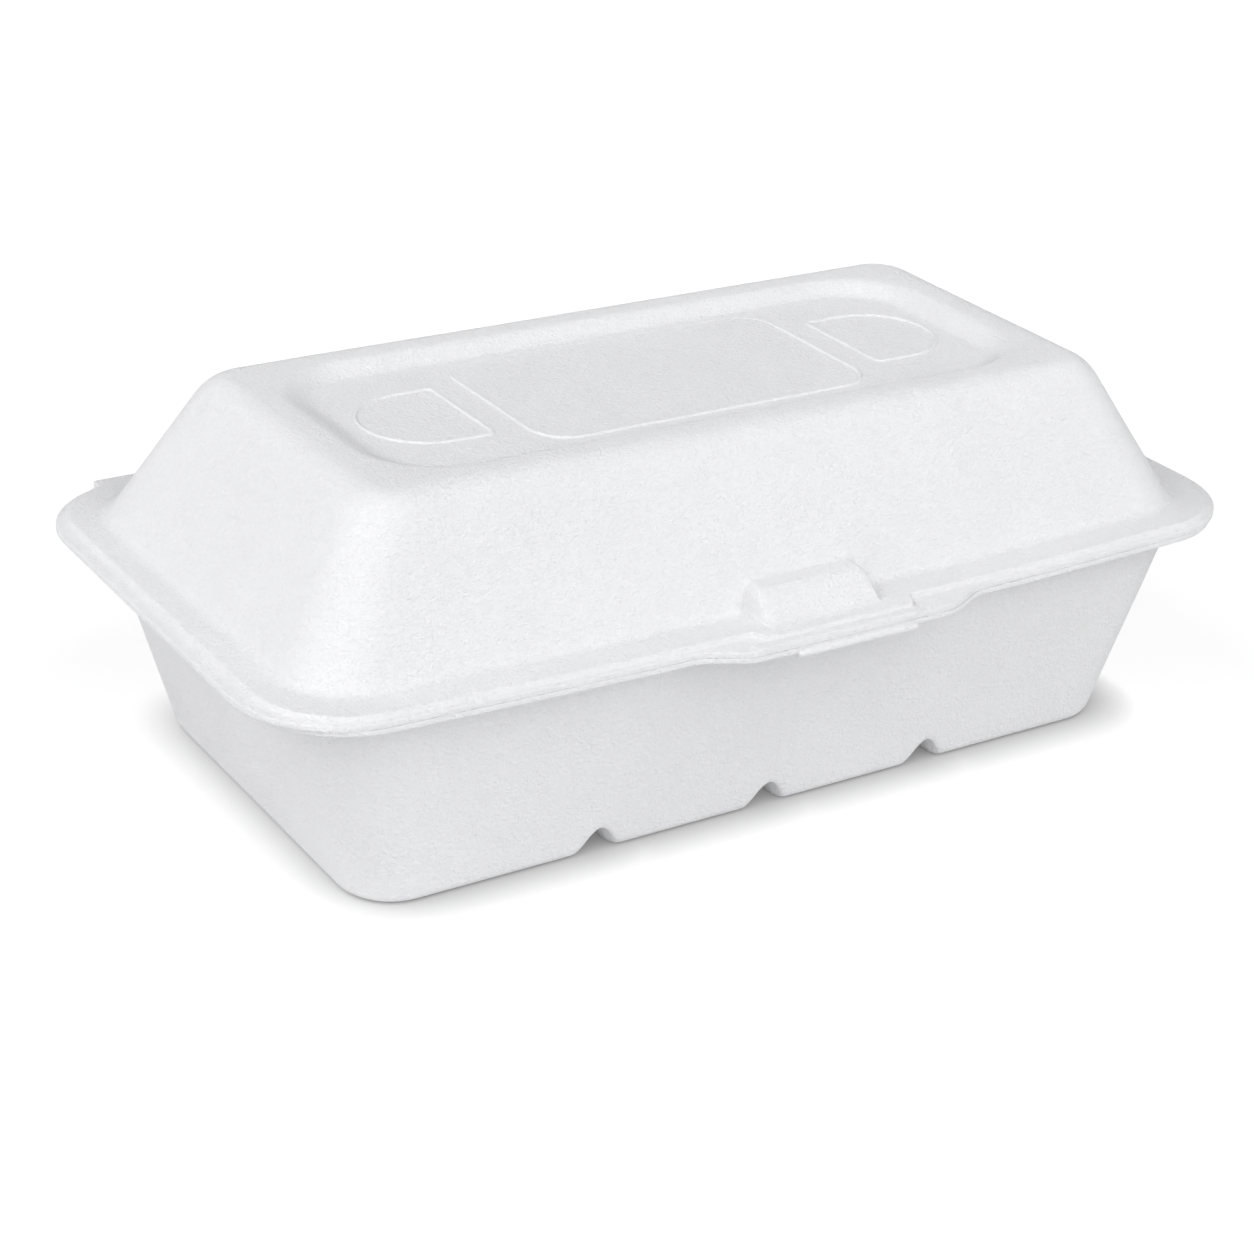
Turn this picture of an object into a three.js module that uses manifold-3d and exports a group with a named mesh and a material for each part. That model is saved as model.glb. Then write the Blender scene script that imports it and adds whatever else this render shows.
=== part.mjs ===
// Moulded pulp clamshell box, closed. Millimetres, +Z up.
// The origin is under the middle of the box, on the surface that it stands on.
// The latch is at the front, towards -Y, and the lid folds at the rear, towards +Y.

import * as THREE from 'three';
import * as BufferGeometryUtils from 'three/addons/utils/BufferGeometryUtils.js';
import Module from 'manifold-3d';

const wasm = await Module();
wasm.setup();

// Material
const wall = 1.2;
const pulpColour = 0xf1f0ee;

// Clearance between the closed lid and the base, and across the open fold
const seatGap = 0.3;

// Base tray
const footLength = 193.4;
const footWidth = 99.8;
const footCorner = 12;
const footRound = 2.4;
const trayHeight = 48.6;
const mouthLength = 221;
const mouthWidth = 117;
const mouthCorner = 17;
const mouthRound = 1.6;
const rimLength = 240;
const rimWidth = 129;
const rimCorner = 23;
const rimThickness = 1.2;

// Channels across the underside
const channelCount = 3;
const channelSpacing = 42.6;
const channelWidth = 10;
const channelTopWidth = 5.6;
const channelHeight = 6.2;
const channelRound = 1.4;

// Lid rim and raised shelf
const lidRimLength = 243;
const lidRimWidth = 128.4;
const lidRimCorner = 23.5;
const lidRimThickness = 1.2;
const shelfLength = 235.4;
const shelfWidth = 125.2;
const shelfCorner = 20;
const shelfRise = 0.9;
const shelfRound = 0.8;
const shelfDraft = 0.4;

// Lid dome
const domeFootLength = 222.2;
const domeFootWidth = 109;
const domeFootCorner = 15;
const domeFootRound = 2.4;
const domeTopLength = 182.2;
const domeTopWidth = 80;
const domeTopCorner = 9;
const domeTopRound = 4.8;
const domeRise = 32.4;

// Recess in the top
const recessLength = 164;
const recessWidth = 62.6;
const recessCorner = 19;
const recessDepth = 2.6;
const recessDraft = 4.2;
const recessRound = 0.8;

// Raised lines on the recess floor
const beadWidth = 1.5;
const beadHeight = 0.5;
const beadSink = 0.6;
const panelLength = 84.2;
const panelWidth = 48;
const panelCorner = 9;
const endPanelSpacing = 96;
const endPanelStraight = 10;
const endPanelWidth = 29.4;

// The long front side swells a little between its corners
const frontBow = 2.4;

// Latch: both rims reach out in a soft bulge, with a tab on the lid and a lip on the base.
// Its middle is a little to the right of the box's middle.
const latchOffset = 3;
const bulgeReach = 4.8;
const bulgeHalf = 23.5;
const bulgeRamp = 13.5;
const tabReach = 5.2;
const tabHalf = 17.6;
const tabRamp = 2.5;
const lipLength = 30;
const lipHeight = 2.6;
const lipReach = 1.2;

// Boss on the dome's front foot, behind the tab. It sits nearer to the box's middle than the tab.
const bossOffset = 0.6;
const bossHeight = 5.7;
const bossTopWidth = 28.6;
const bossFootWidth = 29.8;
const bossTopReach = 2.1;
const bossFootReach = 7.2;
const bossDepth = 27;
const bossCorner = 2.5;
const bossRound = 1;

// Hinge strips behind both rims
const hingeLength = 208;
const hingeReach = 2.8;

// How far a form runs past the surface that it joins or cuts
const overlap = 3;

// Steps of a rounded corner, a rounded edge, a ramp of the latch outline and a drawn curve
const cornerSteps = 8;
const edgeSteps = 3;
const rampSteps = 4;
const curveSteps = 4;
const beadSteps = 10;
const smallestCorner = 0.5;

// Heights worked out from the sizes above
const rimTop = trayHeight + rimThickness;
const lidUnderside = rimTop + seatGap;
const lidRimTop = lidUnderside + lidRimThickness;
const shelfTop = lidRimTop + shelfRise;
const domeTop = shelfTop + domeRise;
const recessFloor = domeTop - recessDepth;

// Latch outlines on the front edge
const plain = { bow: 0, reach: 0, half: bulgeHalf, ramp: bulgeRamp };
const bowed = { ...plain, bow: frontBow };
const bulged = { ...bowed, reach: bulgeReach };
const tabbed = { bow: frontBow, reach: tabReach, half: tabHalf, ramp: tabRamp };

// A ring is one level of a hollow form: a rounded rectangle at a height, with its front outline
function ring(length, width, corner, z, front = plain) {
  return { a: length / 2, b: width / 2, r: corner, z, x: 0, y: 0, ...front };
}

// A small ring has no outline of its own on its front edge
function smallRing(length, width, corner, z, x, y) {
  return { a: length / 2, b: width / 2, r: corner, z, x, y };
}

function inset(s, distance, z = s.z) {
  return { ...s, a: s.a - distance, b: s.b - distance, r: Math.max(s.r - distance, smallestCorner), z };
}

// Every size of a ring between two others
function mix(from, to, t) {
  const between = {};
  Object.keys(from).forEach((key) => {
    between[key] = THREE.MathUtils.lerp(from[key], to[key], t);
  });
  return between;
}

// Rings of a rounded edge that starts at one ring, bends at a second and ends at a third
function bend(from, corner, to) {
  const rings = [];
  for (let i = 0; i <= edgeSteps; i += 1) {
    const t = i / edgeSteps;
    rings.push(mix(mix(from, corner, t), mix(corner, to, t), t));
  }
  return rings;
}

// The ring a given height above the first of two rings of a straight wall
function atHeight(low, high, z) {
  return mix(low, high, (z - low.z) / (high.z - low.z));
}

// Places along the front edge, close together where the latch outlines turn
function frontStations() {
  const latchEnd = bulgeHalf + bulgeRamp;
  const straight = Math.min(rimLength - 2 * rimCorner, domeTopLength - 2 * domeTopCorner);
  const cornerStart = straight / 2 - latchOffset;
  const half = [];
  for (let i = 0; i <= rampSteps; i += 1) {
    half.push(tabHalf + (tabRamp * i) / rampSteps, bulgeHalf + (bulgeRamp * i) / rampSteps);
  }
  for (let i = 1; i < rampSteps; i += 1) {
    half.push(latchEnd + ((cornerStart - latchEnd) * i) / rampSteps);
  }
  const both = [0, ...half, ...half.map((x) => -x)].map((x) => x + latchOffset);
  return [...new Set(both)].sort((p, q) => p - q);
}

function frontY(s, x) {
  const ramp = THREE.MathUtils.clamp((Math.abs(x - latchOffset) - s.half) / s.ramp, 0, 1);
  const along = x / (s.a - s.r);
  return -s.b - s.bow * (1 - along * along) - s.reach * (1 - THREE.MathUtils.smoothstep(ramp, 0, 1));
}

// The points of a ring, anticlockwise from above
function outline(s) {
  const points = [];
  [[1, 1], [-1, 1], [-1, -1], [1, -1]].forEach(([sx, sy], quarter) => {
    for (let i = 0; i <= cornerSteps; i += 1) {
      const angle = ((quarter + i / cornerSteps) * Math.PI) / 2;
      const x = sx * (s.a - s.r) + s.r * Math.cos(angle);
      const y = sy * (s.b - s.r) + s.r * Math.sin(angle);
      points.push(new THREE.Vector3(x + s.x, y + s.y, s.z));
    }
    if (quarter === 2 && s.bow !== undefined) {
      frontStations().forEach((x) => points.push(new THREE.Vector3(x, frontY(s, x), s.z)));
    }
  });
  return points;
}

function toSolid(geometry) {
  geometry.deleteAttribute('normal');
  geometry.deleteAttribute('uv');
  const merged = BufferGeometryUtils.mergeVertices(geometry, 1e-4);
  const vertProperties = new Float32Array(merged.attributes.position.array);
  const triVerts = new Uint32Array(merged.index.array);
  return new wasm.Manifold(new wasm.Mesh({ numProp: 3, vertProperties, triVerts }));
}

// A closed solid through rings from the bottom up, each end closed round its middle point
function loft(rings) {
  const loops = rings.map(outline);
  const count = loops[0].length;
  const points = loops.flat();
  const bottom = points.length;
  const top = bottom + 1;
  const last = bottom - count;
  const [low, high] = [rings[0], rings[rings.length - 1]];
  points.push(new THREE.Vector3(low.x, low.y, low.z), new THREE.Vector3(high.x, high.y, high.z));
  const indices = [];
  for (let i = 0; i < count; i += 1) {
    const next = (i + 1) % count;
    for (let level = 0; level < last; level += count) {
      indices.push(level + i, level + next, level + next + count);
      indices.push(level + i, level + next + count, level + i + count);
    }
    indices.push(bottom, next, i);
    indices.push(top, last + i, last + next);
  }
  const geometry = new THREE.BufferGeometry().setFromPoints(points);
  geometry.setIndex(indices);
  return toSolid(geometry);
}

// A profile drawn across the box, with X to the right and Z up, swept from front to rear
function sweptAlongY(shape, length) {
  const settings = { depth: length, bevelEnabled: false, curveSegments: curveSteps };
  const geometry = new THREE.ExtrudeGeometry(shape, settings);
  geometry.rotateX(Math.PI / 2);
  geometry.translate(0, length / 2, 0);
  return toSolid(geometry);
}

function box(length, width, height, x, y, z) {
  const geometry = new THREE.BoxGeometry(length, width, height);
  geometry.translate(x, y, z);
  return toSolid(geometry);
}

// One channel's profile, or the rib that it leaves inside when it is grown by the wall
function channelShape(grow) {
  const foot = channelWidth / 2 + grow;
  const top = channelTopWidth / 2 + grow;
  const height = channelHeight + grow;
  const shape = new THREE.Shape();
  shape.moveTo(-foot - channelRound, -overlap);
  shape.lineTo(-foot - channelRound, grow);
  shape.quadraticCurveTo(-foot, grow, -foot + channelRound / 2, grow + channelRound);
  shape.lineTo(-top - channelRound / 2, height - channelRound);
  shape.quadraticCurveTo(-top, height, -top + channelRound, height);
  shape.lineTo(top - channelRound, height);
  shape.quadraticCurveTo(top, height, top + channelRound / 2, height - channelRound);
  shape.lineTo(foot - channelRound / 2, grow + channelRound);
  shape.quadraticCurveTo(foot, grow, foot + channelRound, grow);
  shape.lineTo(foot + channelRound, -overlap);
  shape.closePath();
  return shape;
}

function channels(grow) {
  const prism = sweptAlongY(channelShape(grow), rimWidth);
  const middle = (channelCount - 1) / 2;
  let all = prism.translate([-middle * channelSpacing, 0, 0]);
  for (let i = 1; i < channelCount; i += 1) {
    all = all.add(prism.translate([(i - middle) * channelSpacing, 0, 0]));
  }
  return all;
}

const foot = ring(footLength, footWidth, footCorner, 0);
const mouth = ring(mouthLength, mouthWidth, mouthCorner, trayHeight, bowed);

function trayOutside() {
  const underside = inset(foot, footRound);
  const wallStart = atHeight(foot, mouth, footRound);
  const rim = ring(rimLength, rimWidth, rimCorner, trayHeight, bulged);
  return loft([...bend(underside, foot, wallStart), mouth, rim, { ...rim, z: rimTop }]);
}

function trayInside() {
  const floor = inset(foot, wall, wall);
  const top = inset(mouth, wall, rimTop);
  const open = inset(top, -mouthRound);
  const floorEdge = inset(floor, footRound);
  const wallStart = atHeight(floor, top, wall + footRound);
  const wallEnd = atHeight(floor, top, rimTop - mouthRound);
  const floorBend = bend(floorEdge, floor, wallStart);
  return loft([...floorBend, ...bend(wallEnd, top, open), { ...open, z: rimTop + wall }]);
}

// The rounded lip on the front of the base's bulge
function latchLip() {
  const front = -(rimWidth / 2 + frontBow + bulgeReach);
  const radius = lipReach / 2;
  const shape = new THREE.Shape();
  shape.moveTo(-lipLength / 2, 0);
  shape.lineTo(-lipLength / 2, -radius);
  shape.quadraticCurveTo(-lipLength / 2, -lipReach, -lipLength / 2 + radius, -lipReach);
  shape.lineTo(lipLength / 2 - radius, -lipReach);
  shape.quadraticCurveTo(lipLength / 2, -lipReach, lipLength / 2, -radius);
  shape.lineTo(lipLength / 2, 0);
  shape.lineTo(lipLength / 2, rimThickness);
  shape.lineTo(-lipLength / 2, rimThickness);
  shape.closePath();
  const geometry = new THREE.ExtrudeGeometry(shape, {
    depth: lipHeight,
    bevelEnabled: false,
    curveSegments: curveSteps,
  });
  geometry.translate(latchOffset, front, rimTop - lipHeight);
  return toSolid(geometry);
}

// A strip behind a rim, ending at the fold
function hingeStrip(z, thickness) {
  const centre = rimWidth / 2 + (hingeReach - overlap) / 2;
  return box(hingeLength, hingeReach + overlap, thickness, 0, centre, z + thickness / 2);
}

function makeBaseTray() {
  const room = trayInside().subtract(channels(wall));
  return trayOutside()
    .add(latchLip())
    .add(hingeStrip(trayHeight, rimThickness))
    .subtract(channels(0))
    .subtract(room);
}

const shelf = ring(shelfLength, shelfWidth, shelfCorner, shelfTop, tabbed);
const domeFoot = ring(domeFootLength, domeFootWidth, domeFootCorner, shelfTop, bowed);
const domeCrown = ring(domeTopLength, domeTopWidth, domeTopCorner, domeTop);

function domeRings(thickness) {
  const low = inset(domeFoot, thickness, domeFoot.z - thickness);
  const high = inset(domeCrown, thickness, domeCrown.z - thickness);
  const start = atHeight(low, high, low.z + domeFootRound);
  const end = atHeight(low, high, high.z - domeTopRound);
  return [
    ...bend(inset(low, -domeFootRound), low, start),
    ...bend(end, high, inset(high, domeTopRound)),
  ];
}

function lidOutside() {
  const rim = ring(lidRimLength, lidRimWidth, lidRimCorner, lidUnderside, bulged);
  const step = inset(shelf, -shelfDraft, lidRimTop);
  const edge = inset(shelf, -shelfDraft);
  return loft([
    rim,
    { ...rim, z: lidRimTop },
    step,
    ...bend({ ...edge, z: shelfTop - shelfRound }, edge, inset(shelf, shelfRound)),
    ...domeRings(0),
  ]);
}

function lidInside() {
  const channel = inset(shelf, wall, shelfTop - wall);
  const mouthOfChannel = inset(channel, -shelfDraft, lidUnderside);
  return loft([{ ...mouthOfChannel, z: lidUnderside - wall }, mouthOfChannel, channel, ...domeRings(wall)]);
}

// The recess as cut from outside, or the boss that it leaves inside when it is grown by the wall
function recess(grow) {
  const edge = smallRing(recessLength, recessWidth, recessCorner, domeTop - grow, 0, 0);
  const top = inset(edge, -grow);
  const floor = inset(top, recessDraft, recessFloor - grow);
  const round = Math.min(recessRound, recessDepth / 3);
  const drop = atHeight(floor, top, top.z - round);
  const rise = atHeight(floor, top, floor.z + round);
  return loft([
    ...bend(inset(floor, round), floor, rise),
    ...bend(drop, top, inset(top, -round)),
    inset(top, -round, domeTop + wall),
  ]);
}

function roundedRectangle(path, length, width, corner) {
  const a = length / 2;
  const b = width / 2;
  path.moveTo(-a + corner, -b);
  path.lineTo(a - corner, -b);
  path.quadraticCurveTo(a, -b, a, -b + corner);
  path.lineTo(a, b - corner);
  path.quadraticCurveTo(a, b, a - corner, b);
  path.lineTo(-a + corner, b);
  path.quadraticCurveTo(-a, b, -a, b - corner);
  path.lineTo(-a, -b + corner);
  path.quadraticCurveTo(-a, -b, -a + corner, -b);
  return path;
}

// A straight side towards the middle of the lid, and a half circle towards its end
function roundEnded(path, start, width) {
  path.moveTo(start, -width / 2);
  path.lineTo(endPanelStraight, -width / 2);
  path.absarc(endPanelStraight, 0, width / 2, -Math.PI / 2, Math.PI / 2, false);
  path.lineTo(start, width / 2);
  path.closePath();
  return path;
}

function bead(outer, inner, x, turned) {
  outer.holes.push(inner);
  const geometry = new THREE.ExtrudeGeometry(outer, {
    depth: beadHeight + beadSink,
    bevelEnabled: false,
    curveSegments: beadSteps,
  });
  geometry.rotateZ(turned ? Math.PI : 0);
  geometry.translate(x, 0, recessFloor - beadSink);
  return toSolid(geometry);
}

function panelBead() {
  const outer = roundedRectangle(new THREE.Shape(), panelLength, panelWidth, panelCorner);
  const inner = roundedRectangle(
    new THREE.Path(),
    panelLength - 2 * beadWidth,
    panelWidth - 2 * beadWidth,
    panelCorner - beadWidth,
  );
  return bead(outer, inner, 0, false);
}

function endPanelBead(turned) {
  const outer = roundEnded(new THREE.Shape(), 0, endPanelWidth);
  const inner = roundEnded(new THREE.Path(), beadWidth, endPanelWidth - 2 * beadWidth);
  return bead(outer, inner, (turned ? -1 : 1) * (endPanelSpacing / 2), turned);
}

// The boss on the front foot of the dome, as seen outside or as the hollow behind it
function latchBoss(thickness) {
  const wallFoot = domeFootWidth / 2 + frontBow;
  const back = wallFoot - bossDepth;
  const top = shelfTop + bossHeight - thickness;
  const rings = [
    [bossFootWidth, bossFootReach, shelfTop - 2 * wall],
    [bossFootWidth, bossFootReach, shelfTop - thickness],
    [bossTopWidth, bossTopReach, top - bossRound],
    [bossTopWidth - bossRound, bossTopReach - bossRound / 2, top],
  ];
  return loft(rings.map(([width, reach, z]) => {
    const depth = wallFoot + reach - back;
    const size = smallRing(width, depth, bossCorner, z, bossOffset, -(wallFoot + reach) + depth / 2);
    return inset(size, thickness);
  }));
}

function makeLid() {
  const room = lidInside().add(latchBoss(wall)).subtract(recess(wall));
  return lidOutside()
    .add(latchBoss(0))
    .add(hingeStrip(lidUnderside, lidRimThickness))
    .subtract(recess(0))
    .subtract(room)
    .add(panelBead())
    .add(endPanelBead(false))
    .add(endPanelBead(true));
}

function toMesh(solid, name) {
  const { vertProperties, triVerts } = solid.getMesh();
  const geometry = new THREE.BufferGeometry();
  geometry.setAttribute('position', new THREE.BufferAttribute(new Float32Array(vertProperties), 3));
  geometry.setIndex(new THREE.BufferAttribute(new Uint32Array(triVerts), 1));
  geometry.computeVertexNormals();
  const material = new THREE.MeshStandardMaterial({ color: pulpColour, roughness: 0.9, metalness: 0 });
  const mesh = new THREE.Mesh(geometry, material);
  mesh.name = name;
  return mesh;
}

// The front and rear reach differ, so the box is moved to put its middle over the origin
const frontReach = rimWidth / 2 + frontBow + bulgeReach + lipReach;
const rearReach = rimWidth / 2 + hingeReach;

const clamshell = new THREE.Group();
clamshell.position.y = (frontReach - rearReach) / 2;
clamshell.add(toMesh(makeBaseTray(), 'base_tray'));
clamshell.add(toMesh(makeLid(), 'lid'));

export default clamshell;
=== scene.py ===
"""Moulded pulp clamshell box, dressed over its CAD frame. Sizes are in millimetres until a mesh is made."""

import math

import bmesh
import bpy
import numpy as np
from mathutils import Matrix, Vector, noise


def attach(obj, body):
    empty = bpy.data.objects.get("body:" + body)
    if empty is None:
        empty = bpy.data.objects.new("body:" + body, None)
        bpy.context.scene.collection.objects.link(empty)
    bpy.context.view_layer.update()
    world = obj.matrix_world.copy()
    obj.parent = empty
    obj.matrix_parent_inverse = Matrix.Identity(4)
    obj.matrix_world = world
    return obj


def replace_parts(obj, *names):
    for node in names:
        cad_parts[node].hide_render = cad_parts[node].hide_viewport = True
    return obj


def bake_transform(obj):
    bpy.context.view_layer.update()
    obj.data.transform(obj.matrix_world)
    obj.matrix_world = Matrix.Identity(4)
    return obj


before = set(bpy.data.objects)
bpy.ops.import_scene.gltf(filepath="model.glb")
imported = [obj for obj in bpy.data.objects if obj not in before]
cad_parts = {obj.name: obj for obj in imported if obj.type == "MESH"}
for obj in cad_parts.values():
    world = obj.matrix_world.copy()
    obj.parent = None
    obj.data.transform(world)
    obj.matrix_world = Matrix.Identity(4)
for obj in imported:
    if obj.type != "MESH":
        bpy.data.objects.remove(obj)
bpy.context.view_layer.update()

MM = 0.001

# Distances in metres within which points are welded and slivers removed
WELD = 2e-7
SLIVER = 1e-7

# The part is moved so that its middle is over the origin
SHIFT_Y = 2.8

# Shell and rims. The lid's rim is set lower than in the part's source, so that the rims nearly touch
WALL = 1.2
TRAY_HEIGHT = 48.6
RIM_TOP = TRAY_HEIGHT + WALL
LID_UNDERSIDE = 49.85
LID_RIM_TOP = 51.15
FLANGE_DROOP = 0.1
SHELF_TOP = 52.2
DOME_TOP = 84.6
RECESS_DEPTH = 2.6
RECESS_FLOOR = DOME_TOP - RECESS_DEPTH
FOOT_ROUND = 2.4
MOUTH_ROUND = 1.6
DOME_FOOT_ROUND = 1.8
DOME_TOP_ROUND = 5.0
RECESS_DRAFT = 4.2
RECESS_END = 2.6
RECESS_ROUND = 0.7
EDGE_ROUND = 0.35
RIM_FILLET = 2.0
RIM_ARRIS = 0.04
RIM_ROUGH = 0.06

# Hollow under the lid's shelf
HOLLOW_ARRIS = 0.4
HOLLOW_ROUND = 0.3
HOLLOW_ROOF_ROUND = 0.5

# Channels under the tray
CHANNELS = (-42.6, 0.0, 42.6)
CHANNEL_HALF = 4.3
CHANNEL_HEIGHT = 6.3
FLARE = 2.4
FLARE_DEPTH = 4.6
CHANNEL_FALL = 3.0
NO_CHANNEL = -50.0

# Soft edge of the channels: at the floor, how much it grows, the height where it is full, and inside
CHANNEL_BLEND = 0.5
CHANNEL_BLEND_GROWTH = 1.9
CHANNEL_BLEND_Z = 2.5
CHANNEL_BLEND_INSIDE = 1.2

# The mesh is softened this far beside a channel's middle and this high, and less over the last stretch
SOFT_SIDE = 9.0
SOFT_TOP = 9.5
SOFT_FADE = 2.0

# Middles of the latch's forms along X
BULGE_X = 4.2
TAB_X = 2.3
BOSS_X = 0.7
LIP_X = 4.0

# Boss behind the latch tab
BOSS_HEIGHT = 5.7
BOSS_HALF = 10.8
BOSS_FRONT = 58.8
BOSS_SLOPE = 1.08
BOSS_CURVE = 0.2
BOSS_STEEP = 5.0
BOSS_SHOULDER = 3.0
BOSS_SOFT = 0.6
BOSS_BLEND = 1.8
BOSS_BLEND_INSIDE = 1.0

# Strips at the latch: half length, limits along Y and Z, rounding of the edges, and the tab's middle
LIP_HALF = 15
LIP_Y = (-73.0, -70.2)
LIP_Z = (47.9, 49.78)
LIP_EDGE = 0.85
TAB_HALF = 20.7
TAB_Y = (-71.3, -68.6)
TAB_Z = (50.5, 51.45)
TAB_EDGE = 0.3
TAB_STRIP_X = 0.2

# Raised lines on the recess floor
RIB_WIDTH = 1.15
RIB_HEIGHT = 0.4
RIB_ROOT = 0.45
RIB_SUNK = 0.5
RIB_SEAM = 0.01
RIB_SPACING = 1.5
FAINT_REAR = 0.3
FAINT_FROM = 12
FAINT_OVER = 10
PANEL_HALF = 41.35
PANEL_FRONT = 23.25
PANEL_REAR = 24.4
PANEL_CORNER = 8.25
END_RADIUS = 13.95
END_CENTRE = 58.0
END_FLAT = 48.75
END_CORNER = 1.4

# Hinge
HINGE_HALF = 104.0
HINGE_Y = 67.3
STRIP_Y = (62.0, HINGE_Y - 0.1)
STRIP_EDGE = 0.25
BASE_STRIP_Z = (48.65, 49.75)
LID_STRIP_Z = (49.93, 50.95)
FOLD_SHORTER = 0.6
FOLD_Y = (HINGE_Y - 0.5, HINGE_Y + 0.25)
FOLD_Z = (49.0, 50.9)
FOLD_EDGE = 0.3

# A ring is one level of a shell: half sizes, corner radius, height, front outline, and edge roughness
A, B, R, Z, BOW, REACH, HALF, RAMP, MIDDLE, ROUGH = range(10)
FRONT_BOW = 2.4
CORNER_STEPS = 14
END_STEPS = 18
FIXED_REACH = 80.0
STATION_SHARE = 0.94
MIN_SPACING = 0.12
MIN_CORNER = 0.5
FLOOR_LINE_HALF = 55
SECTION_STEPS = 4
MIN_EDGE = 0.02

# What stands forward in a ring's front: half width, ramp beside it and middle, and then its reach
BULGE = (23.5, 13.5, BULGE_X)
BULGE_REACH = 4.8
TAB = (17.6, 2.6, TAB_X)
TAB_REACH = 3.8

# Unevenness of the pulp: rates are changes for each millimetre, and reaches are in millimetres
WARP_RATE = 0.035
WARP_REACH = 0.07
WARP_LIFT = 0.06
WARP_FULL_Z = 12
RIPPLE_RATE = 0.11
RIPPLE_REACH = 0.025
RIPPLE_PLACE = Vector((7, 3, 5))
EDGE_WAVE = (0.45, 0.45, 0.8)
EDGE_BURR = (1.3, 1.3, 1.5)
BURR_SHARE = 0.5


def ring(length, width, corner, z, bow=0.0, reach=0.0, front=BULGE):
    return np.array([length / 2, width / 2, corner, z, bow, reach, *front, 0.0])


def inset(s, distance, z=None):
    out = s.copy()
    out[A] -= distance
    out[B] -= distance
    out[R] = max(out[R] - distance, MIN_CORNER)
    if z is not None:
        out[Z] = z
    return out


def widened(s, distance):
    """The ring with its ends further out."""
    out = s.copy()
    out[A] += distance
    return out


def raised(s, z):
    out = s.copy()
    out[Z] = z
    return out


def rough(rings, amount):
    """The same rings with an uneven outer edge."""
    out = [s.copy() for s in rings]
    for s in out:
        s[ROUGH] = amount
    return out


def mix(p, q, t):
    return p + (q - p) * t


def bend(p, corner, q, steps):
    ts = np.linspace(0, 1, steps + 1)
    return [mix(mix(p, corner, t), mix(corner, q, t), t) for t in ts]


def at_height(low, high, z):
    return mix(low, high, (z - low[Z]) / (high[Z] - low[Z]))


def between(p, q, steps):
    """Rings strictly between two others."""
    return [mix(p, q, t) for t in np.linspace(0, 1, steps + 2)[1:-1]]


def smoothstep(t):
    t = np.clip(t, 0, 1)
    return t * t * (3 - 2 * t)


def smooth_max(p, q, k):
    h = np.maximum(k - np.abs(p - q), 0) / k
    return np.maximum(p, q) + h * h * k / 4


def spread(*spans):
    """Sorted places along the long sides, from spans of (start, end, spacing), mirrored."""
    xs = [0.0]
    for start, end, step in spans:
        xs += list(np.linspace(start, end, max(2, int(round((end - start) / step)) + 1)))
    both = np.array(xs + [-x for x in xs])
    keep = [both.min()]
    for x in np.sort(both):
        if x - keep[-1] > MIN_SPACING:
            keep.append(x)
    return np.array(keep)


def long_side(s, stations):
    reach = s[A] - s[R]
    inner = stations * min(1.0, STATION_SHARE * reach / FIXED_REACH)
    outer = np.linspace(inner[-1], reach, 5)[1:-1]
    return np.concatenate([-outer[::-1], inner, outer])


def front_y(s, x):
    ramp = smoothstep((np.abs(x - s[MIDDLE]) - s[HALF]) / s[RAMP])
    along = x / (s[A] - s[R])
    return -s[B] - s[BOW] * (1 - along**2) - s[REACH] * (1 - ramp)


def edge_noise(flat, z, rates):
    u, v, w = rates
    return np.array([noise.noise(Vector((x * u, y * v, z * w))) for x, y in flat])


def outline(s, stations):
    """The points of a ring, anticlockwise from above."""
    points, outward = [], []
    xs = long_side(s, stations)
    ys = np.linspace(-(s[B] - s[R]), s[B] - s[R], END_STEPS + 2)[1:-1]
    for quarter, (sx, sy) in enumerate([(1, 1), (-1, 1), (-1, -1), (1, -1)]):
        angles = (quarter + np.linspace(0, 1, CORNER_STEPS + 1)) * math.pi / 2
        turn = np.stack([np.cos(angles), np.sin(angles)], 1)
        points.append(turn * s[R] + [sx * (s[A] - s[R]), sy * (s[B] - s[R])])
        outward.append(turn)
        if quarter == 0:
            side = np.stack([xs[::-1], np.full(len(xs), s[B])], 1)
        elif quarter == 1:
            side = np.stack([np.full(len(ys), -s[A]), ys[::-1]], 1)
        elif quarter == 2:
            side = np.stack([xs, front_y(s, xs)], 1)
        else:
            side = np.stack([np.full(len(ys), s[A]), ys], 1)
        points.append(side)
        facing = [(0, 1), (-1, 0), (0, -1), (1, 0)][quarter]
        outward.append(np.tile(facing, (len(side), 1)).astype(float))
    flat, out = np.concatenate(points), np.concatenate(outward)
    if s[ROUGH]:
        wave = edge_noise(flat, s[Z], EDGE_WAVE)
        burr = edge_noise(flat, s[Z], EDGE_BURR)
        flat = flat + out * ((wave + BURR_SHARE * burr) * s[ROUGH])[:, None]
    return np.column_stack([flat, np.full(len(flat), s[Z])])


def floor_rings(s, stations, shares):
    """Rings of a flat floor inside s. They close towards its long middle line, where the share is 0."""
    edge = outline(s, stations)
    out = []
    for t in shares:
        p = edge.copy()
        past = np.maximum(np.abs(p[:, 0]) - FLOOR_LINE_HALF, 0)
        p[:, 0] -= np.sign(p[:, 0]) * past * 0.5 * (1 - t)
        p[:, 1] *= t
        out.append(p)
    return out


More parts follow.
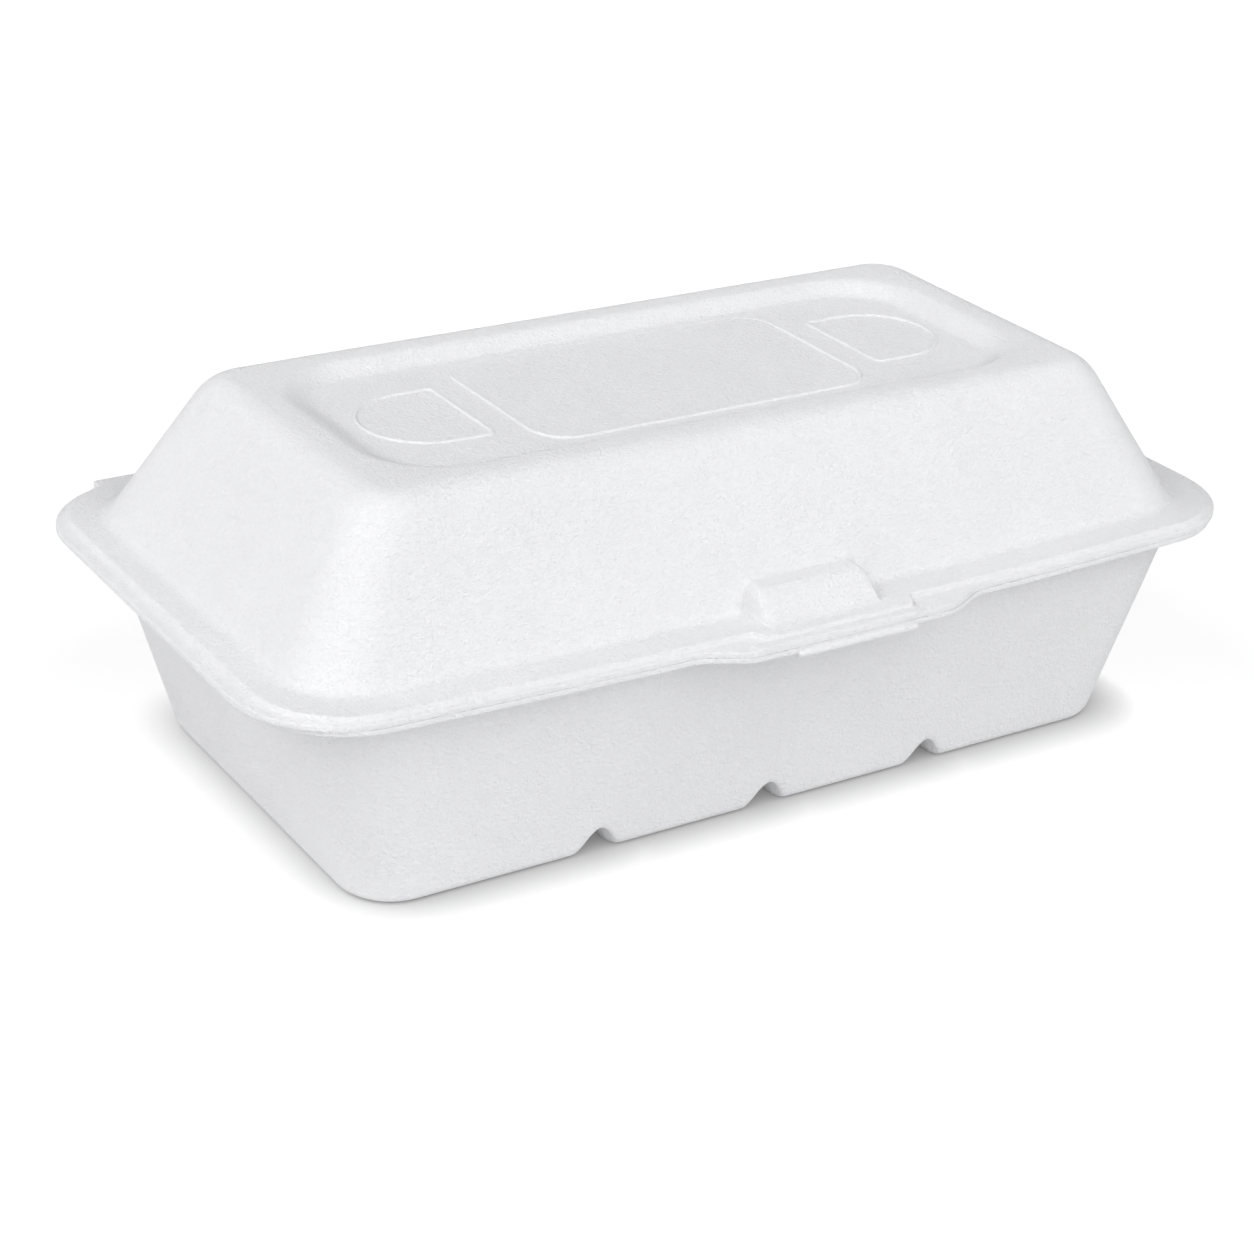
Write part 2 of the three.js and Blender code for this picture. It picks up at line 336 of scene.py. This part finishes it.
def warp(points):
    """The slight unevenness of moulded pulp: one field for every piece, so neighbours stay together."""
    out = points.copy()
    for i, p in enumerate(points):
        v = noise.noise_vector(Vector(p) * WARP_RATE)
        w = noise.noise_vector(Vector(p) * RIPPLE_RATE + RIPPLE_PLACE)
        lift = min(max(p[2] / WARP_FULL_Z, 0), 1)
        out[i, 0] += WARP_REACH * v.x + RIPPLE_REACH * w.x
        out[i, 1] += WARP_REACH * v.y + RIPPLE_REACH * w.y
        out[i, 2] += (WARP_LIFT * v.z + RIPPLE_REACH * w.z) * lift
    return out


def solid(name, loops, closed=False):
    """A mesh through loops of as many points, in millimetres. If closed, the last loop joins the first."""
    levels, count = len(loops), len(loops[0])
    points = (warp(np.concatenate(loops)) + [0, SHIFT_Y, 0]) * MM
    faces = []
    for level in range(levels if closed else levels - 1):
        low, high = level * count, ((level + 1) % levels) * count
        for i in range(count):
            j = (i + 1) % count
            faces.append((low + i, low + j, high + j, high + i))
    mesh = bpy.data.meshes.new(name)
    mesh.from_pydata(points.tolist(), [], faces)
    work = bmesh.new()
    work.from_mesh(mesh)
    bmesh.ops.remove_doubles(work, verts=work.verts, dist=WELD)
    bmesh.ops.dissolve_degenerate(work, edges=work.edges, dist=SLIVER)
    bmesh.ops.recalc_face_normals(work, faces=work.faces)
    work.to_mesh(mesh)
    work.free()
    for face in mesh.polygons:
        face.use_smooth = True
    piece = bpy.data.objects.new(name, mesh)
    bpy.context.scene.collection.objects.link(piece)
    return piece


def relax(loops, weight, rounds):
    """Softens the grid of loops where weight is above zero."""
    grid = np.stack(loops)
    w = np.clip(weight, 0, 1)[..., None] * 0.5
    w[0] = 0
    w[-1] = 0
    for _ in range(rounds):
        near = (np.roll(grid, 1, 0) + np.roll(grid, -1, 0) + np.roll(grid, 1, 1) + np.roll(grid, -1, 1)) / 4
        grid = grid + (near - grid) * w
    return list(grid)


# Tray

TRAY_FOOT = ring(193.4, 99.8, 12, 0)
TRAY_MOUTH = ring(221, 117, 17, TRAY_HEIGHT, FRONT_BOW)
TRAY_RIM = ring(240, 129, 23, TRAY_HEIGHT, FRONT_BOW, BULGE_REACH)
TRAY_STATIONS = spread((0, 8, 0.38), (8, 34.5, 2.2), (34.5, 50.7, 0.38), (50.7, FIXED_REACH, 2.4))


def channel_height(x, y, grow):
    """Height of the channels' roof, below zero between them. The mouths in the long sides flare."""
    best = np.full(np.shape(x), NO_CHANNEL)
    inside = TRAY_FOOT[B] - np.abs(y)
    half = CHANNEL_HALF + FLARE * np.clip(1 - inside / FLARE_DEPTH, 0, 1) ** 2 + grow
    for middle in CHANNELS:
        away = np.abs(x - middle) / half
        arch = (CHANNEL_HEIGHT + grow) * (1 - smoothstep(away))
        best = np.maximum(best, arch - CHANNEL_FALL * np.maximum(away - 1, 0))
    return best


def tray_loops():
    foot, mouth, rim = TRAY_FOOT, TRAY_MOUTH, TRAY_RIM
    shares = (0, 0.15, 0.35, 0.55, 0.75, 0.88, 0.94, 0.98)
    underside = inset(foot, FOOT_ROUND)
    wall_start = at_height(foot, mouth, FOOT_ROUND)
    wall_end = at_height(foot, mouth, TRAY_HEIGHT - RIM_FILLET)
    under_rim = inset(mouth, -RIM_FILLET, TRAY_HEIGHT)
    low_wall = [at_height(foot, mouth, z) for z in np.arange(4.1, 9.1, 0.5)]
    high_wall = [at_height(foot, mouth, z) for z in np.linspace(11, TRAY_HEIGHT - 5, 14)]
    outer = bend(underside, foot, wall_start, 9) + low_wall + high_wall
    outer += bend(wall_end, mouth, under_rim, 6)
    edge_in = inset(rim, EDGE_ROUND)
    rim_in = inset(rim, RIM_ARRIS, RIM_TOP)
    outer += between(under_rim, edge_in, 4)
    outer += rough(bend(edge_in, rim, raised(rim, TRAY_HEIGHT + EDGE_ROUND), 4), RIM_ROUGH)
    outer += rough(bend(raised(rim, RIM_TOP - RIM_ARRIS), raised(rim, RIM_TOP), rim_in, 3), RIM_ROUGH)

    floor = inset(foot, WALL, WALL)
    top = inset(mouth, WALL, RIM_TOP)
    opened = inset(top, -MOUTH_ROUND)
    inner_start = at_height(floor, top, WALL + FOOT_ROUND)
    inner_end = at_height(floor, top, RIM_TOP - MOUTH_ROUND)
    inner = between(rim_in, opened, 4)
    inner += bend(opened, top, inner_end, 5)
    inner += [at_height(floor, top, z) for z in np.linspace(RIM_TOP - 4, 12.5, 12)]
    inner += [at_height(floor, top, z) for z in np.arange(10.5, WALL + FOOT_ROUND + 0.3, -0.6)]
    inner += bend(inner_start, floor, inset(floor, FOOT_ROUND), 8)

    st = TRAY_STATIONS
    out_loops = floor_rings(underside, st, shares) + [outline(s, st) for s in outer]
    in_loops = [outline(s, st) for s in inner] + floor_rings(inset(floor, FOOT_ROUND), st, shares[::-1])
    for p in out_loops:
        blend = CHANNEL_BLEND + CHANNEL_BLEND_GROWTH * smoothstep(p[:, 2] / CHANNEL_BLEND_Z)
        p[:, 2] = smooth_max(p[:, 2], channel_height(p[:, 0], p[:, 1], 0), blend)
    for p in in_loops:
        p[:, 2] = smooth_max(p[:, 2], channel_height(p[:, 0], p[:, 1], WALL), CHANNEL_BLEND_INSIDE)
    loops = out_loops + in_loops
    grid = np.stack(loops)
    beside = np.min([np.abs(grid[..., 0] - c) for c in CHANNELS], 0)
    weight = smoothstep((SOFT_SIDE - beside) / SOFT_FADE)
    weight = weight * smoothstep((SOFT_TOP - grid[..., 2]) / SOFT_FADE)
    return relax(loops, weight, 2)


# Lid

LID_STATIONS = spread((0, 9, 1.5), (9, 17, 0.3), (17, 26, 0.45), (26, 43, 1.0), (43, FIXED_REACH, 3.0))
LID_RIM = ring(243, 128.4, 23.5, LID_UNDERSIDE, FRONT_BOW, BULGE_REACH)
SHELF = ring(235.4, 125.2, 20, SHELF_TOP, FRONT_BOW, TAB_REACH, TAB)
DOME_FOOT = ring(222.2, 109, 15, SHELF_TOP, FRONT_BOW, 0, TAB)
DOME_CROWN = ring(182.2, 80, 9, DOME_TOP)
RECESS_EDGE = ring(164, 62.6, 19, DOME_TOP)


def boss_height(x, y, thickness):
    """Height of the boss on the dome's front foot, outside, or of the hollow behind it."""
    top = np.full(np.shape(x), SHELF_TOP + BOSS_HEIGHT - thickness)
    past = np.maximum(np.abs(x - BOSS_X) - BOSS_HALF + thickness, 0)
    side = BOSS_CURVE * past**2 + BOSS_STEEP * np.maximum(past - BOSS_SHOULDER, 0)
    front = np.maximum(-BOSS_FRONT + thickness - y, 0) * BOSS_SLOPE
    drop = np.sqrt(side**2 + front**2 + BOSS_SOFT**2) - BOSS_SOFT
    return np.where(y < 0, top - drop, 0)


def recess_rings(edge, drop):
    """From the border down to the recess floor, along a soft S."""
    out = []
    for t in np.linspace(0, 1, 13):
        distance = -RECESS_ROUND + (RECESS_DRAFT + 2 * RECESS_ROUND) * t
        low = inset(edge, distance, DOME_TOP - drop - RECESS_DEPTH * float(smoothstep(t)))
        out.append(widened(low, -RECESS_END * t))
    return out


def dome_rings(foot, crown, thickness):
    """From the border down the dome's wall to its foot."""
    low = inset(foot, thickness, foot[Z] - thickness)
    high = inset(crown, thickness, crown[Z] - thickness)
    start = at_height(low, high, low[Z] + DOME_FOOT_ROUND)
    end = at_height(low, high, high[Z] - DOME_TOP_ROUND)
    rings = bend(inset(high, DOME_TOP_ROUND), high, end, 9)
    rings += [at_height(low, high, z) for z in np.linspace(end[Z] - 1.6, low[Z] + 9, 9)]
    rings += [at_height(low, high, z) for z in np.linspace(low[Z] + 8.3, start[Z] + 0.5, 9)]
    rings += bend(start, low, inset(low, -DOME_FOOT_ROUND), 8)
    return rings


def lid_loops():
    rim, shelf, foot, crown, edge = LID_RIM, SHELF, DOME_FOOT, DOME_CROWN, RECESS_EDGE
    shares = (0.97, 0.88, 0.75, 0.6, 0.45, 0.3, 0.15, 0)
    st = LID_STATIONS

    outer = recess_rings(edge, 0)[::-1]
    outer += between(inset(edge, -RECESS_ROUND), inset(crown, DOME_TOP_ROUND), 1)
    outer += dome_rings(foot, crown, 0)
    outer += between(inset(foot, -DOME_FOOT_ROUND), inset(shelf, 0.15), 10)
    brow = widened(inset(shelf, -0.1, SHELF_TOP - 0.15), 0.1)
    outer += bend(inset(shelf, 0.15), shelf, brow, 4)
    steep = widened(inset(shelf, -0.45, LID_RIM_TOP + 0.08), 0.85)
    crease = widened(inset(shelf, -0.7, LID_RIM_TOP), 1.5)
    outer += bend(mix(brow, steep, 0.6), steep, crease, 6)
    rim_top = LID_RIM_TOP - FLANGE_DROOP
    flange_in = inset(rim, EDGE_ROUND, rim_top)
    outer += between(crease, flange_in, 3)
    outer += rough(bend(flange_in, raised(rim, rim_top), raised(rim, rim_top - EDGE_ROUND), 4), RIM_ROUGH)
    outer += rough(bend(raised(rim, LID_UNDERSIDE + RIM_ARRIS), rim, inset(rim, RIM_ARRIS), 3), RIM_ROUGH)

    hollow = inset(shelf, WALL, SHELF_TOP - WALL)
    hollow_mouth = inset(hollow, -HOLLOW_ARRIS, LID_UNDERSIDE)
    hollow_edge = raised(hollow, LID_UNDERSIDE)
    hollow_roof = inset(hollow, HOLLOW_ROOF_ROUND)
    inner = between(inset(rim, RIM_ARRIS), hollow_mouth, 3)
    inner += bend(hollow_mouth, hollow_edge, raised(hollow, LID_UNDERSIDE + HOLLOW_ROUND), 2)
    inner += bend(raised(hollow, hollow[Z] - HOLLOW_ROUND), hollow, hollow_roof, 3)
    inner_dome = dome_rings(foot, crown, WALL)[::-1]
    inner += between(hollow_roof, inner_dome[0], 6)
    inner += inner_dome
    inner += recess_rings(inset(edge, -WALL / 2), WALL)

    floor = widened(inset(edge, RECESS_DRAFT + RECESS_ROUND, RECESS_FLOOR), -RECESS_END)
    top = floor_rings(floor, st, shares)
    under_floor = inset(floor, -WALL / 2, RECESS_FLOOR - WALL)
    under = floor_rings(under_floor, st, shares)
    out_loops = top[::-1] + [outline(s, st) for s in outer]
    in_loops = [outline(s, st) for s in inner] + under
    for p in out_loops:
        p[:, 2] = smooth_max(p[:, 2], boss_height(p[:, 0], p[:, 1], 0), BOSS_BLEND)
    for p in in_loops:
        p[:, 2] = smooth_max(p[:, 2], boss_height(p[:, 0], p[:, 1], WALL), BOSS_BLEND_INSIDE)
    return out_loops + in_loops


# Small pieces

def arc(cx, cy, radius, start, end, steps):
    angles = np.radians(np.linspace(start, end, steps + 1))
    return [(cx + radius * math.cos(t), cy + radius * math.sin(t)) for t in angles]


def filled(path, spacing):
    """The closed path with more points along its straight stretches."""
    out = []
    for p, q in zip(path, path[1:] + path[:1]):
        steps = max(1, int(math.dist(p, q) / spacing))
        out += [(p[0] + (q[0] - p[0]) * i / steps, p[1] + (q[1] - p[1]) * i / steps) for i in range(steps)]
    return np.array(out)


def rib(name, path, faint_rear):
    """A soft raised line along a closed path on the recess floor. Its rear stretch may be fainter."""
    p = filled(path, RIB_SPACING)
    along = np.roll(p, -1, 0) - np.roll(p, 1, 0)
    along /= np.linalg.norm(along, axis=1)[:, None]
    side = np.stack([along[:, 1], -along[:, 0]], 1)
    across = np.linspace(-0.5, 0.5, 11)
    rise = RIB_HEIGHT * np.cos(math.pi * across) ** 2
    profile = [(u * RIB_WIDTH, RECESS_FLOOR + h - RIB_SEAM) for u, h in zip(across, rise)]
    root = RIB_WIDTH * RIB_ROOT
    profile += [(root, RECESS_FLOOR - RIB_SUNK), (-root, RECESS_FLOOR - RIB_SUNK)]
    loops = []
    for q, n in zip(p, side):
        sink = faint_rear * float(smoothstep((q[1] - FAINT_FROM) / FAINT_OVER))
        loops.append(np.array([(q[0] + n[0] * u, q[1] + n[1] * u, z - sink) for u, z in profile]))
    return solid(name, loops, closed=True)


def panel_path():
    a, b, r, rear = PANEL_HALF, PANEL_FRONT, PANEL_CORNER, PANEL_REAR
    path = arc(a - r, rear - r, r, 0, 90, 10) + arc(-a + r, rear - r, r, 90, 180, 10)
    return path + arc(-a + r, -b + r, r, 180, 270, 10) + arc(a - r, -b + r, r, 270, 360, 10)


def end_path(side):
    """A straight side towards the middle, and a half circle towards the end."""
    r, x, small = END_RADIUS, END_CENTRE, END_CORNER
    path = arc(x, 0, r, -90, 90, 30) + arc(END_FLAT + small, r - small, small, 90, 180, 4)
    path += arc(END_FLAT + small, -r + small, small, 180, 270, 4)
    return [(side * px, side * py) for px, py in path]


def section(cy, cz, hy, hz, r):
    """Points of a rounded rectangle across the box."""
    points = []
    for quarter, (sy, sz) in enumerate([(1, 1), (-1, 1), (-1, -1), (1, -1)]):
        centre = (cy + sy * (hy - r), cz + sz * (hz - r))
        points += arc(centre[0], centre[1], r, quarter * 90, quarter * 90 + 90, SECTION_STEPS)
    return points


def bar(name, half, y, z, edge, x0=0.0):
    """A straight strip along X with soft edges and soft ends. y and z are its limits, and x0 its middle."""
    cy, cz, hy, hz = sum(y) / 2, sum(z) / 2, (y[1] - y[0]) / 2, (z[1] - z[0]) / 2
    turn = np.radians(np.linspace(0, 90, 5))
    ends = [(half - edge * (1 - math.sin(t)), edge * (1 - math.cos(t))) for t in turn][::-1]
    levels = [(x0 - x, cut) for x, cut in ends]
    levels += [(x0 + x, 0.0) for x in np.linspace(-half + edge, half - edge, int(half) + 2)[1:-1]]
    levels += [(x0 + x, cut) for x, cut in ends[::-1]]
    count = 4 * (SECTION_STEPS + 1)
    loops = [np.tile((levels[0][0], cy, cz), (count, 1)).astype(float)]
    for x, cut in levels:
        points = section(cy, cz, hy - cut, hz - cut, max(edge - cut, MIN_EDGE))
        loops.append(np.array([(x, py, pz) for py, pz in points]))
    loops.append(np.tile((levels[-1][0], cy, cz), (count, 1)).astype(float))
    return solid(name, loops)


# Finishes

PULP_DARK = (0.84, 0.84, 0.85)
PULP_LIGHT = (0.885, 0.885, 0.897)
PULP_ROUGHNESS = 0.88
PULP_GLOSS = 0.22
GRAIN = 0.75
CLOUD_SCALE = 55
LEATHER_SCALE = 1150
FINE_SCALE = 2600
FIBRE_SCALE = 900
TONE_START = 0.36
TONE_END = 0.64


def add(tree, kind, **inputs):
    node = tree.nodes.new(kind)
    for key, value in inputs.items():
        node.inputs[key.replace("_", " ")].default_value = value
    return node


def scaled_noise(tree, vector, scale, detail, roughness, distortion=0.0):
    node = add(tree, "ShaderNodeTexNoise", Scale=scale, Detail=detail, Roughness=roughness)
    node.inputs["Distortion"].default_value = distortion
    tree.links.new(vector, node.inputs["Vector"])
    return node.outputs["Fac"]


def weighted(tree, parts, start=0.0):
    """Sum of sockets times numbers, and a start."""
    total = None
    for socket, share in parts:
        times = add(tree, "ShaderNodeMath")
        times.operation = "MULTIPLY_ADD"
        times.inputs[1].default_value = share
        times.inputs[2].default_value = start
        tree.links.new(socket, times.inputs[0])
        if total is not None:
            tree.links.new(total, times.inputs[2])
        total = times.outputs[0]
    return total


def pulp(name):
    """Pressed white pulp: faint mottling, a leathery grain and short fibres. Its colour is also darker where
    the grain's bumps are low, a painted shade in the pits.
    """
    material = bpy.data.materials.new(name)
    material.use_nodes = True
    tree = material.node_tree
    shader = tree.nodes["Principled BSDF"]
    shader.inputs["Roughness"].default_value = PULP_ROUGHNESS
    shader.inputs["Specular IOR Level"].default_value = PULP_GLOSS
    place = tree.nodes.new("ShaderNodeTexCoord").outputs["Object"]
    cloud = scaled_noise(tree, place, CLOUD_SCALE, 3, 0.55)
    leather = scaled_noise(tree, place, LEATHER_SCALE, 2, 0.6, 0.5)
    fine = scaled_noise(tree, place, FINE_SCALE, 2, 0.6, 0.8)
    stretch = add(tree, "ShaderNodeMapping", Scale=(1.0, 3.2, 2.0), Rotation=(0.4, 0.3, 0.7))
    tree.links.new(place, stretch.inputs["Vector"])
    fibre = scaled_noise(tree, stretch.outputs["Vector"], FIBRE_SCALE, 2, 0.5, 1.6)
    # The cloud is the pulp's own random mottling; leather and fine also lower the bump, so they paint shade
    # into the pits
    mottle_and_pit_shade = weighted(tree, [(cloud, 0.3), (leather, 0.35), (fine, 0.35)])
    ramp = tree.nodes.new("ShaderNodeValToRGB")
    ramp.color_ramp.elements[0].position = TONE_START
    ramp.color_ramp.elements[0].color = (*PULP_DARK, 1)
    ramp.color_ramp.elements[1].position = TONE_END
    ramp.color_ramp.elements[1].color = (*PULP_LIGHT, 1)
    tree.links.new(mottle_and_pit_shade, ramp.inputs["Fac"])
    tree.links.new(ramp.outputs["Color"], shader.inputs["Base Color"])
    height = weighted(tree, [(leather, 0.5), (fine, 0.22), (fibre, 0.28)])
    bump = add(tree, "ShaderNodeBump", Strength=1.0, Distance=GRAIN * MM)
    tree.links.new(height, bump.inputs["Height"])
    tree.links.new(bump.outputs["Normal"], shader.inputs["Normal"])
    return material


def finish(piece, material):
    piece.data.materials.append(material)
    return piece


# The box

tray_pulp = pulp("tray pulp")
lid_pulp = pulp("lid pulp")

tray = finish(solid("tray_shell", tray_loops()), tray_pulp)
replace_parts(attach(tray, "base"), "base_tray")

lid = finish(solid("lid_shell", lid_loops()), lid_pulp)
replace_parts(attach(lid, "lid"), "lid")

RIBS = (("panel", panel_path(), FAINT_REAR), ("left_end", end_path(-1), 0), ("right_end", end_path(1), 0))
for label, path, faint_rear in RIBS:
    line = finish(rib("rib_" + label, path, faint_rear), lid_pulp)
    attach(line, "lid")

lip = finish(bar("latch_lip", LIP_HALF, LIP_Y, LIP_Z, LIP_EDGE, LIP_X), tray_pulp)
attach(lip, "base")

tab = finish(bar("latch_tab", TAB_HALF, TAB_Y, TAB_Z, TAB_EDGE, TAB_STRIP_X), lid_pulp)
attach(tab, "lid")

base_strip = bar("base_hinge_strip", HINGE_HALF, STRIP_Y, BASE_STRIP_Z, STRIP_EDGE)
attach(finish(base_strip, tray_pulp), "base")

lid_strip = bar("lid_hinge_strip", HINGE_HALF, STRIP_Y, LID_STRIP_Z, STRIP_EDGE)
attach(finish(lid_strip, lid_pulp), "lid")

fold = bar("hinge_fold", HINGE_HALF - FOLD_SHORTER, FOLD_Y, FOLD_Z, FOLD_EDGE)
finish(fold, tray_pulp)
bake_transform(fold)


# Floor, light and camera

# The floor's own white in the camera's eye, part lit and part plain, with a painted shade near the box from
# an occlusion node, leaned so that it is lighter at the box's left end
FLOOR_HALF = 8
FLOOR_BOUNCE = 0.77
FLOOR_SHADE = 0.38
FLOOR_GLOW = 0.72
# Painted shade: reach, share of the floor's colour, lean and samples of the occlusion that darkens the floor
# near the box
PAINTED_SHADE_REACH = 0.012
PAINTED_SHADE_SHARE = 0.85
PAINTED_SHADE_TILT = (-0.4, -0.05, 0.9)
PAINTED_SHADE_SAMPLES = 16

# Light from all sides, and each lamp's name, azimuth, elevation and level
AMBIENT = 0.22
AMBIENT_TINT = (0.985, 0.99, 1, 1)
LAMP_SPREAD = 60
LAMPS = (("left", -102, 36, 0.58), ("corner", -42, 30, 0.12), ("front", 16, 40, 0.56))

# Camera from a fit to the photograph's outlines: focal length in its pixels, turn in degrees, place in metres
PHOTO_WIDTH = 1254
FOCAL_PIXELS = 2805.69
SENSOR_WIDTH = 36
CAMERA_TURN = (33.35, 25.69, 2.82)
CAMERA_PLACE = (-0.3179, -0.4726, 0.2962)


def make_floor():
    mesh = bpy.data.meshes.new("floor")
    h = FLOOR_HALF
    mesh.from_pydata([(-h, -h, 0), (h, -h, 0), (h, h, 0), (-h, h, 0)], [], [(0, 1, 2, 3)])
    floor = bpy.data.objects.new("floor", mesh)
    bpy.context.scene.collection.objects.link(floor)
    material = bpy.data.materials.new("floor")
    material.use_nodes = True
    tree = material.node_tree
    tree.nodes.clear()
    bounce = add(tree, "ShaderNodeBsdfDiffuse", Color=(FLOOR_BOUNCE, FLOOR_BOUNCE, FLOOR_BOUNCE, 1))
    shaded = tree.nodes.new("ShaderNodeBsdfDiffuse")
    glow = tree.nodes.new("ShaderNodeEmission")
    # Painted shade: this occlusion darkens the floor's colour and glow, as the camera sees them, near the box
    close = tree.nodes.new("ShaderNodeAmbientOcclusion")
    close.samples = PAINTED_SHADE_SAMPLES
    close.inputs["Distance"].default_value = PAINTED_SHADE_REACH
    x, y, z = PAINTED_SHADE_TILT
    tilt = add(tree, "ShaderNodeCombineXYZ", X=x, Y=y, Z=z)
    tree.links.new(tilt.outputs["Vector"], close.inputs["Normal"])
    both = tree.nodes.new("ShaderNodeAddShader")
    seen = tree.nodes.new("ShaderNodeMixShader")
    out = tree.nodes.new("ShaderNodeOutputMaterial")
    rays = tree.nodes.new("ShaderNodeLightPath")
    # Both the lit part and the glow are darkened by the painted shade of the occlusion
    for shader, share in ((shaded, FLOOR_SHADE), (glow, FLOOR_GLOW)):
        start = share * (1 - PAINTED_SHADE_SHARE)
        level = weighted(tree, [(close.outputs["AO"], share * PAINTED_SHADE_SHARE)], start)
        tree.links.new(level, shader.inputs["Color"])
    tree.links.new(shaded.outputs[0], both.inputs[0])
    tree.links.new(glow.outputs[0], both.inputs[1])
    tree.links.new(rays.outputs["Is Camera Ray"], seen.inputs[0])
    tree.links.new(bounce.outputs[0], seen.inputs[1])
    tree.links.new(both.outputs[0], seen.inputs[2])
    tree.links.new(seen.outputs[0], out.inputs[0])
    mesh.materials.append(material)


def make_world():
    world = bpy.data.worlds.new("studio")
    bpy.context.scene.world = world
    world.use_nodes = True
    tree = world.node_tree
    tree.nodes.clear()
    soft = add(tree, "ShaderNodeBackground", Color=AMBIENT_TINT, Strength=AMBIENT)
    white = add(tree, "ShaderNodeBackground", Color=(1, 1, 1, 1), Strength=1.0)
    rays = tree.nodes.new("ShaderNodeLightPath")
    seen = tree.nodes.new("ShaderNodeMixShader")
    out = tree.nodes.new("ShaderNodeOutputWorld")
    tree.links.new(rays.outputs["Is Camera Ray"], seen.inputs[0])
    tree.links.new(soft.outputs[0], seen.inputs[1])
    tree.links.new(white.outputs[0], seen.inputs[2])
    tree.links.new(seen.outputs[0], out.inputs[0])


def softlight(name, azimuth, elevation, level):
    """A broad, distant lamp, in front at azimuth 0. The level is what it adds to a white that faces it."""
    data = bpy.data.lights.new(name, "SUN")
    data.angle = math.radians(LAMP_SPREAD)
    data.energy = level * math.pi
    lamp = bpy.data.objects.new(name, data)
    bpy.context.scene.collection.objects.link(lamp)
    a, e = math.radians(azimuth), math.radians(elevation)
    away = Vector((math.sin(a) * math.cos(e), -math.cos(a) * math.cos(e), math.sin(e)))
    lamp.rotation_euler = away.to_track_quat("Z", "Y").to_euler()


def make_camera():
    """At the photograph's viewing angle: position and turn from a fit to the object's outlines."""
    data = bpy.data.cameras.new("camera")
    data.sensor_fit = "HORIZONTAL"
    data.sensor_width = SENSOR_WIDTH
    data.lens = SENSOR_WIDTH * FOCAL_PIXELS / PHOTO_WIDTH
    data.clip_start = 0.01
    camera = bpy.data.objects.new("camera", data)
    bpy.context.scene.collection.objects.link(camera)
    azimuth, elevation, roll = (math.radians(v) for v in CAMERA_TURN)
    forward = Vector((
        math.sin(azimuth) * math.cos(elevation),
        math.cos(azimuth) * math.cos(elevation),
        -math.sin(elevation),
    ))
    right = Vector((math.cos(azimuth), -math.sin(azimuth), 0))
    up = right.cross(forward)
    c, s = math.cos(roll), math.sin(roll)
    turned_right = right * c + up * s
    turned_up = up * c - right * s
    turn = Matrix((turned_right, turned_up, -forward)).transposed()
    camera.matrix_world = Matrix.Translation(Vector(CAMERA_PLACE)) @ turn.to_4x4()
    bpy.context.scene.camera = camera


make_floor()
make_world()
for lamp in LAMPS:
    softlight(*lamp)
make_camera()
bpy.context.scene.view_settings.view_transform = "Standard"
